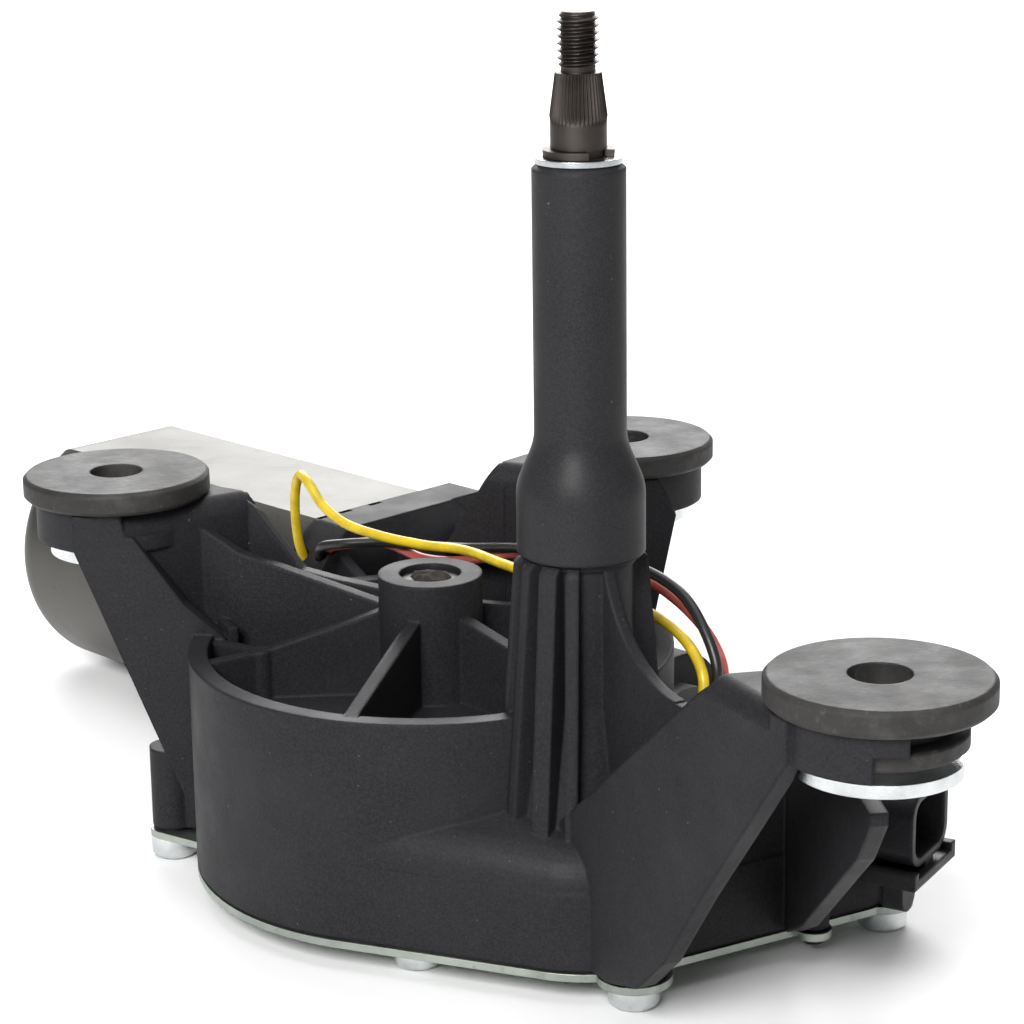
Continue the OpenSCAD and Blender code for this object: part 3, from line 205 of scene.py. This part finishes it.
def area_light(name, at, target, size, power):
    data = bpy.data.lights.new(name, "AREA")
    data.shape = "RECTANGLE"
    data.size, data.size_y = size
    data.energy = power
    lamp = bpy.data.objects.new(name, data)
    bpy.context.scene.collection.objects.link(lamp)
    lamp.location = at
    lamp.rotation_euler = (Vector(target) - Vector(at)).to_track_quat("-Z", "Y").to_euler()


def scaled(color, factor, lift=0.0):
    """The colour made paler or darker by a factor, and then lifted."""
    return tuple(c * factor + lift for c in color)


class Nodes:
    """Short hand for building a node material."""

    def __init__(self, name):
        self.mat = bpy.data.materials.new(name)
        self.mat.use_nodes = True
        self.tree = self.mat.node_tree
        self.tree.nodes.clear()
        out = self.tree.nodes.new("ShaderNodeOutputMaterial")
        self.shader = self.tree.nodes.new("ShaderNodeBsdfPrincipled")
        self.link(self.shader.outputs["BSDF"], out.inputs["Surface"])
        self.coords = self.tree.nodes.new("ShaderNodeTexCoord").outputs["Object"]

    def link(self, a, b):
        self.tree.links.new(a, b)

    def finish(self, color, roughness, normal):
        """Link the three results to the shader and give back the material."""
        self.link(color, self.shader.inputs["Base Color"])
        self.link(roughness, self.shader.inputs["Roughness"])
        self.link(normal, self.shader.inputs["Normal"])
        return self.mat

    def noise(self, scale, detail, rough, stretch=None, turn=None):
        """Noise in the object's own space, which stretch and turn can draw out into streaks."""
        n = self.tree.nodes.new("ShaderNodeTexNoise")
        n.inputs["Scale"].default_value = scale
        n.inputs["Detail"].default_value = detail
        n.inputs["Roughness"].default_value = rough
        source = self.coords
        if stretch:
            m = self.tree.nodes.new("ShaderNodeMapping")
            m.inputs["Scale"].default_value = stretch
            m.inputs["Rotation"].default_value = turn
            self.link(source, m.inputs["Vector"])
            source = m.outputs["Vector"]
        self.link(source, n.inputs["Vector"])
        return n.outputs[0]

    def span(self, source, low, high, to_low, to_high):
        """The source from low to high, turned into a value from to_low to to_high."""
        m = self.tree.nodes.new("ShaderNodeMapRange")
        for key, value in zip(("From Min", "From Max", "To Min", "To Max"), (low, high, to_low, to_high)):
            m.inputs[key].default_value = value
        self.link(source, m.inputs["Value"])
        return m.outputs["Result"]

    def cover(self, base, color, source, low, high, most=1.0):
        """The base colour, covered by another one as the source goes from low to high."""
        m = self.tree.nodes.new("ShaderNodeMix")
        m.data_type = "RGBA"
        self.link(self.span(source, low, high, 0, most), m.inputs[MIX_FACTOR])
        for number, value in ((MIX_A, base), (MIX_B, color)):
            if isinstance(value, tuple):
                m.inputs[number].default_value = (*value, 1)
            else:
                self.link(value, m.inputs[number])
        return m.outputs[MIX_RESULT]

    def soft_edges(self, radius):
        """Normals that show edges rounded by the radius, on the mesh as it is."""
        e = self.tree.nodes.new("ShaderNodeBevel")
        e.samples = EDGE_SAMPLES
        e.inputs["Radius"].default_value = radius
        return e.outputs["Normal"]

    def bump(self, source, distance, strength, under=None):
        b = self.tree.nodes.new("ShaderNodeBump")
        b.inputs["Distance"].default_value = distance
        b.inputs["Strength"].default_value = strength
        self.link(source, b.inputs["Height"])
        if under is not None:
            self.link(under, b.inputs["Normal"])
        return b.outputs["Normal"]


def moulded(name, dark, light, rough=(0.46, 0.62), grain=2600.0, grain_depth=0.00004):
    """Glass filled plastic: fine grain, faint flow marks and handling scuffs."""
    n = Nodes(name)
    patches = n.noise(scale=38, detail=5, rough=0.62)
    scuffs = n.noise(scale=420, detail=3, rough=0.7, stretch=(1, 0.25, 1), turn=(0.3, 0.2, 0.9))
    fine = n.noise(scale=grain, detail=2, rough=0.5)
    dust = n.noise(scale=1500, detail=2, rough=0.5)
    gloss = n.noise(scale=90, detail=4, rough=0.6)
    scuffed = tuple(min(1.0, c) for c in scaled(light, 2.2, lift=0.008))
    base = n.cover(dark, light, patches, 0.35, 0.68)
    base = n.cover(base, scuffed, scuffs, 0.66, 0.8, most=0.35)
    base = n.cover(base, scaled(light, 1.7), fine, 0.35, 0.7, most=0.55)
    base = n.cover(base, (0.12, 0.115, 0.11), dust, 0.74, 0.8, most=0.8)
    grained = n.bump(fine, grain_depth, 0.8, n.soft_edges(PLASTIC_EDGE))
    n.shader.inputs["Specular IOR Level"].default_value = PLASTIC_SPECULAR
    return n.finish(base, n.span(gloss, 0.3, 0.7, *rough), n.bump(patches, 0.0002, 0.12, grained))


def rubber(name, dark, light, rough=(0.62, 0.85)):
    """Dull rubber with rubbed spots and dust."""
    n = Nodes(name)
    clouds = n.noise(scale=130, detail=6, rough=0.7)
    rubbed = n.noise(scale=900, detail=3, rough=0.7)
    dust = n.noise(scale=60, detail=5, rough=0.75)
    base = n.cover(dark, light, clouds, 0.38, 0.7)
    base = n.cover(base, scaled(light, 3), rubbed, 0.6, 0.76, most=0.55)
    base = n.cover(base, scaled(light, 2.4), dust, 0.5, 0.66, most=0.5)
    uneven = n.bump(clouds, 0.0004, 0.4, n.soft_edges(RUBBER_EDGE))
    n.shader.inputs["Specular IOR Level"].default_value = RUBBER_SPECULAR
    return n.finish(base, n.span(clouds, 0.3, 0.7, *rough), n.bump(rubbed, 0.0001, 0.8, uneven))


def metal(name, dark, light, rough=(0.25, 0.45), scale=160.0, brushed=True, metallic=1.0, spots=None,
          depth=0.00003):
    """Clouded metal, brushed or grained, with stains where a colour for spots is given."""
    n = Nodes(name)
    clouds = n.noise(scale=scale * 0.35, detail=6, rough=0.65)
    base = n.cover(dark, light, clouds, 0.32, 0.7)
    if spots:
        specks = n.noise(scale=scale * 2.2, detail=3, rough=0.55)
        stains = n.noise(scale=scale * 0.5, detail=5, rough=0.7, stretch=(1, 3, 1), turn=(0.2, 0.1, 0.95))
        base = n.cover(base, spots, specks, 0.64, 0.74, most=0.75)
        base = n.cover(base, spots, stains, 0.56, 0.7, most=0.45)
    if brushed:
        grain = n.noise(scale=scale * 6, detail=3, rough=0.6, stretch=(1, 9, 9), turn=(0.1, 0.35, 0.2))
    else:
        grain = n.noise(scale=scale * 9, detail=3, rough=0.6)
    n.shader.inputs["Metallic"].default_value = metallic
    roughness = n.span(clouds, 0.3, 0.7, *rough)
    return n.finish(base, roughness, n.bump(grain, depth, 0.5, n.soft_edges(METAL_EDGE)))


def insulation(name, color):
    """A wire's soft plastic, a little soiled."""
    n = Nodes(name)
    dirt = n.noise(scale=260, detail=4, rough=0.6)
    grain = n.noise(scale=1400, detail=2, rough=0.5)
    base = n.cover(color, scaled(color, 0.72), dirt, 0.4, 0.66)
    return n.finish(base, n.span(dirt, 0.3, 0.7, 0.28, 0.45), n.bump(grain, 0.00003, 0.5))


# Each material: the function that makes it and its settings
LOOKS = {
    "housing_plastic": (moulded, dict(dark=(0.0105, 0.0098, 0.0112), light=(0.0165, 0.0156, 0.0176))),
    "sleeve_plastic": (moulded, dict(dark=(0.014, 0.0134, 0.0148), light=(0.0185, 0.0178, 0.0194),
                                     rough=(0.42, 0.52), grain=3400.0, grain_depth=0.000025)),
    "connector_plastic": (moulded, dict(dark=(0.009, 0.009, 0.01), light=(0.014, 0.014, 0.016),
                                        rough=(0.35, 0.5))),
    "gear_plastic": (moulded, dict(dark=(0.6, 0.57, 0.44), light=(0.72, 0.69, 0.58), rough=(0.3, 0.45))),
    "brown_plastic": (moulded, dict(dark=(0.06, 0.03, 0.015), light=(0.08, 0.045, 0.025))),
    "mount_rubber": (rubber, dict(dark=(0.016, 0.015, 0.0145), light=(0.03, 0.028, 0.0265),
                                  rough=(0.5, 0.7))),
    "compound": (rubber, dict(dark=(0.012, 0.0105, 0.009), light=(0.026, 0.022, 0.018),
                              rough=(0.75, 0.95))),
    "seal_rubber": (rubber, dict(dark=(0.008, 0.008, 0.008), light=(0.016, 0.0155, 0.015),
                                 rough=(0.8, 0.95))),
    "plate_steel": (metal, dict(dark=(0.27, 0.3, 0.27), light=(0.46, 0.5, 0.45), rough=(0.28, 0.46),
                                spots=(0.16, 0.17, 0.15))),
    "zinc_steel": (metal, dict(dark=(0.46, 0.48, 0.49), light=(0.82, 0.84, 0.83), rough=(0.12, 0.26),
                               scale=420.0, depth=0.00005)),
    "black_steel": (metal, dict(dark=(0.05, 0.042, 0.038), light=(0.085, 0.075, 0.068), rough=(0.35, 0.6),
                                scale=260.0, brushed=False)),
    "pressed_steel": (metal, dict(dark=(0.42, 0.42, 0.43), light=(0.58, 0.58, 0.58))),
    "dull_steel": (metal, dict(dark=(0.035, 0.034, 0.032), light=(0.06, 0.058, 0.054), rough=(0.4, 0.6),
                               scale=300.0, brushed=False)),
    "ground_steel": (metal, dict(dark=(0.6, 0.6, 0.61), light=(0.72, 0.72, 0.73), rough=(0.14, 0.25))),
    "core_steel": (metal, dict(dark=(0.1, 0.1, 0.11), light=(0.17, 0.17, 0.18), rough=(0.4, 0.6))),
    "can_steel": (metal, dict(dark=(0.076, 0.074, 0.067), light=(0.112, 0.109, 0.1), rough=(0.38, 0.54),
                              scale=110.0, brushed=False, metallic=0.8, spots=(0.05, 0.042, 0.034))),
    "copper": (metal, dict(dark=(0.5, 0.2, 0.09), light=(0.7, 0.34, 0.18), rough=(0.25, 0.4))),
    "bronze": (metal, dict(dark=(0.34, 0.23, 0.12), light=(0.45, 0.33, 0.19), rough=(0.45, 0.6),
                           scale=300.0, brushed=False)),
    "contact_brass": (metal, dict(dark=(0.6, 0.5, 0.26), light=(0.74, 0.64, 0.36), rough=(0.2, 0.35))),
    "magnet": (metal, dict(dark=(0.035, 0.035, 0.04), light=(0.06, 0.06, 0.065), rough=(0.6, 0.8),
                           scale=200.0, brushed=False, metallic=0.3)),
    "wire_yellow": (insulation, dict(color=(0.66, 0.47, 0.012))),
    "wire_black": (insulation, dict(color=(0.014, 0.014, 0.014))),
    "wire_red": (insulation, dict(color=(0.55, 0.11, 0.095))),
}
MATERIALS = {name: make(name, **look) for name, (make, look) in LOOKS.items()}


def smooth_line(points):
    """A centripetal spline through the points, as closely spaced points in metres."""
    p = [Vector(q) * MM for q in points]
    p = [2 * p[0] - p[1]] + p + [2 * p[-1] - p[-2]]
    line = []
    for a, b, c, d in zip(p, p[1:], p[2:], p[3:]):
        t1 = math.sqrt((b - a).length)
        t2 = t1 + math.sqrt((c - b).length)
        t3 = t2 + math.sqrt((d - c).length)
        for i in range(LEAD_STEPS_PER_POINT):
            t = t1 + (t2 - t1) * i / LEAD_STEPS_PER_POINT
            ab = a.lerp(b, t / t1)
            bc = b.lerp(c, (t - t1) / (t2 - t1))
            cd = c.lerp(d, (t - t2) / (t3 - t2))
            abc = ab.lerp(bc, t / t2)
            bcd = bc.lerp(cd, (t - t1) / (t3 - t1))
            line.append(abc.lerp(bcd, (t - t1) / (t2 - t1)))
    line.append(p[-2])
    return line


def make_leads():
    """The three leads, as round smooth curves through the points of their CAD tubes."""
    for color, route in LEAD_ROUTES.items():
        line = smooth_line(route)
        data = bpy.data.curves.new("lead_" + color, "CURVE")
        data.dimensions = "3D"
        data.bevel_depth = LEAD_D / 2 * MM
        data.bevel_resolution = LEAD_ROUNDNESS
        data.use_fill_caps = True
        spline = data.splines.new("POLY")
        spline.points.add(len(line) - 1)
        for point, at in zip(spline.points, line):
            point.co = (*at, 1)
        lead = bpy.data.objects.new("lead_" + color, data)
        bpy.context.scene.collection.objects.link(lead)
        data.materials.append(MATERIALS["wire_" + color])
        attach(lead, "frame")
        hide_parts("wire_" + color)


def dress_frame():
    """Each CAD node gets the material of its slot, and smooth shading between its sharp edges."""
    slots = {s["node"]: s["material_slot"] for s in frame["record"]["subparts"]}
    for name, obj in frame["nodes"].items():
        obj.data.materials.clear()
        obj.data.materials.append(MATERIALS[slots[name]])
        obj.data.shade_smooth()
        obj.data.set_sharp_from_angle(angle=math.radians(CAD_SHARP))


def stacked(name, rings, material, sharp, top_cap=True):
    """A mesh through rings with the same number of points, in millimetres, from its foot to its top."""
    around = len(rings[0])
    verts = [(x * MM, y * MM, z * MM) for ring in rings for x, y, z in ring]
    faces = [tuple(range(around))[::-1]]
    for low in range(0, len(verts) - around, around):
        for k in range(around):
            n = (k + 1) % around
            faces.append((low + k, low + n, low + around + n, low + around + k))
    if top_cap:
        faces.append(tuple(range(len(verts) - around, len(verts))))
    mesh = bpy.data.meshes.new(name)
    mesh.from_pydata(verts, [], faces)
    mesh.update()
    mesh.materials.append(MATERIALS[material])
    mesh.shade_smooth()
    mesh.set_sharp_from_angle(angle=math.radians(sharp))
    obj = bpy.data.objects.new(name, mesh)
    bpy.context.scene.collection.objects.link(obj)
    return obj


def turned(name, heights, radius, around, material, sharp, at=(0, 0)):
    """A closed solid round Z whose radius is a function of height and angle, in millimetres."""
    rings = []
    for z in heights:
        ring = []
        for k in range(around):
            a = 2 * math.pi * k / around
            r = radius(z, a)
            ring.append((at[0] + r * math.cos(a), at[1] + r * math.sin(a), z))
        rings.append(ring)
    return stacked(name, rings, material, sharp)


def share(value):
    """The value, held between 0 and 1."""
    return min(1.0, max(0.0, value))


def groove(turns):
    """How deep a groove is that repeats with each turn: 1 at whole turns and 0 at half ones."""
    return abs(turns % 1 - 0.5) * 2


def node_heights(node):
    """A CAD node's lowest and highest point, in millimetres."""
    return [corner[2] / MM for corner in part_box(node)]


def make_spindle():
    """The spindle with its rolled thread and serrated taper, over the whole of its CAD solid."""
    low, high = node_heights("output_shaft")
    ring_low, ring_high = node_heights("spindle_circlip")
    groove_low = ring_low - GROOVE_GAP
    groove_high = ring_high + GROOVE_GAP
    thread_low = high - THREAD_LEN
    taper_low = thread_low - TAPER_LEN
    serrated_low = taper_low - SERRATED_FOOT

    def thread_radius(z, a):
        depth = groove((z - thread_low) / THREAD_PITCH - a / (2 * math.pi))
        fade = share((z - thread_low - NECK_LEN) / THREAD_FADE)
        neck = THREAD_DEPTH * (1 - fade) * NECK_SHARE
        root = THREAD_DEPTH * fade * min(1.0, ROOT_FLATNESS * depth)
        tip = max(0.0, z - high + TIP_BEVEL_LEN) * TIP_BEVEL_SLOPE
        return min(THREAD_R - neck - root, THREAD_R - tip)

    def taper_radius(z, a):
        r = TAPER_LOW_R + (TAPER_TOP_R - TAPER_LOW_R) * share((z - taper_low) / TAPER_LEN)
        if z < taper_low:
            r = TAPER_LOW_R + (SHAFT_R - TAPER_LOW_R) * min(1.0, (taper_low - z) / TAPER_FOOT)
        run_out = share((z - taper_low + SERRATION_RUN_OUT) / SERRATION_RUN_OUT)
        stop = share((thread_low - z) / SERRATION_STOP)
        return r - SERRATION_DEPTH * run_out * stop * groove(a * SERRATIONS / (2 * math.pi))

    def radius(z, a):
        if z > thread_low + THREAD_STEP:
            return thread_radius(z, a)
        if z > serrated_low:
            return taper_radius(z, a)
        if groove_low < z < groove_high:
            return SHAFT_R - GROOVE_DEPTH
        return SHAFT_R

    first_turn = thread_low + THREAD_STEP + EDGE
    turns = int(THREAD_LEN / THREAD_RING_GAP)
    heights = [low, groove_low - EDGE, groove_low + EDGE, groove_high - EDGE, groove_high + EDGE]
    heights.append(serrated_low - EDGE)
    heights += [serrated_low + SERRATED_FOOT * i / FOOT_RINGS for i in range(FOOT_RINGS + 1)]
    heights += [taper_low + TAPER_LEN * i / TAPER_RINGS for i in range(1, TAPER_RINGS)]
    heights += [thread_low - SERRATION_STOP, thread_low - THREAD_STEP, first_turn]
    heights += [first_turn + (high - first_turn) * i / turns for i in range(1, turns + 1)]
    spindle = turned("spindle", heights, radius, SERRATIONS * POINTS_PER_SERRATION, "black_steel",
                     SPINDLE_SHARP)
    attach(spindle, "spindle")
    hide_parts("output_shaft")


def make_axle_face(foot, top):
    """The steel face in the hub's recess, round the sealing compound."""
    def radius(z, a):
        return FACE_R - max(0.0, z - top + FACE_BEVEL)

    face = turned("axle_seat", [foot, top - FACE_BEVEL, top], radius, FACE_POINTS, "dull_steel", FACE_SHARP,
                  at=GEAR_AT)
    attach(face, "frame")


def make_sealing_drop(base):
    """The rough drop of sealing compound, which stands on the height of base over the axle's end."""
    rng = random.Random(LUMP_SEED)
    lumps = [(rng.uniform(-LUMP_REACH, LUMP_REACH), rng.uniform(-LUMP_REACH, LUMP_REACH),
              rng.uniform(*LUMP_WIDTH), rng.uniform(*LUMP_HEIGHT)) for _ in range(LUMPS)]

    def height(x, y, out):
        """The drop's height at x, y; out goes from 0 in its middle to 1 at its rim."""
        rough = sum(h * math.exp(-((x - lx) ** 2 + (y - ly) ** 2) / w ** 2) for lx, ly, w, h in lumps)
        dome = DROP_HEIGHT * (1 - out ** 3) + rough * (1 - out ** 6)
        lowest = DROP_LOWEST if out < 1 else 0.0
        return min(DROP_HIGHEST, max(lowest, dome))

    def ring(out, sunk=0.0):
        points = []
        for k in range(DROP_POINTS):
            a = 2 * math.pi * k / DROP_POINTS
            wave = sum(size * math.sin(count * a + start) for count, size, start in RIM_WAVES)
            x = DROP_R * (1 + wave) * out * math.cos(a)
            y = DROP_R * (1 + wave) * out * math.sin(a)
            points.append((GEAR_AT[0] + x, GEAR_AT[1] + y, base + height(x, y, out) - sunk))
        return points

    rings = [ring(1, DROP_SUNK)] + [ring(i / DROP_RINGS) for i in range(DROP_RINGS, -1, -1)]
    drop = stacked("axle_plug", rings, "compound", DROP_SHARP, top_cap=False)
    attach(drop, "frame")


def make_hub_end():
    """The steel face and the sealing compound on the wheel's axle, in the hub's recess."""
    axle_top = node_heights("wheel_axle")[1]
    make_axle_face(axle_top, axle_top + FACE_THICK)
    make_sealing_drop(axle_top + FACE_THICK)


def make_stage():
    """The pale floor, the world and the lamps."""
    bpy.ops.mesh.primitive_plane_add(size=FLOOR_SIZE, location=(0, 0, FLOOR_Z))
    floor = bpy.context.object
    floor.name = "floor"
    mat = bpy.data.materials.new("floor")
    mat.use_nodes = True
    shader = mat.node_tree.nodes["Principled BSDF"]
    shader.inputs["Base Color"].default_value = (FLOOR_GREY, FLOOR_GREY, FLOOR_GREY, 1)
    shader.inputs["Roughness"].default_value = FLOOR_ROUGHNESS
    floor.data.materials.append(mat)
    world = bpy.data.worlds.new("world")
    bpy.context.scene.world = world
    world.use_nodes = True
    background = world.node_tree.nodes["Background"]
    background.inputs["Color"].default_value = (1, 1, 1, 1)
    background.inputs["Strength"].default_value = WORLD_STRENGTH
    for name, (at, target, size, power) in LAMPS.items():
        area_light(name, at, target, size, power)
    bpy.context.scene.view_settings.view_transform = "Standard"


set_camera()
make_leads()
dress_frame()
make_spindle()
make_hub_end()
make_stage()
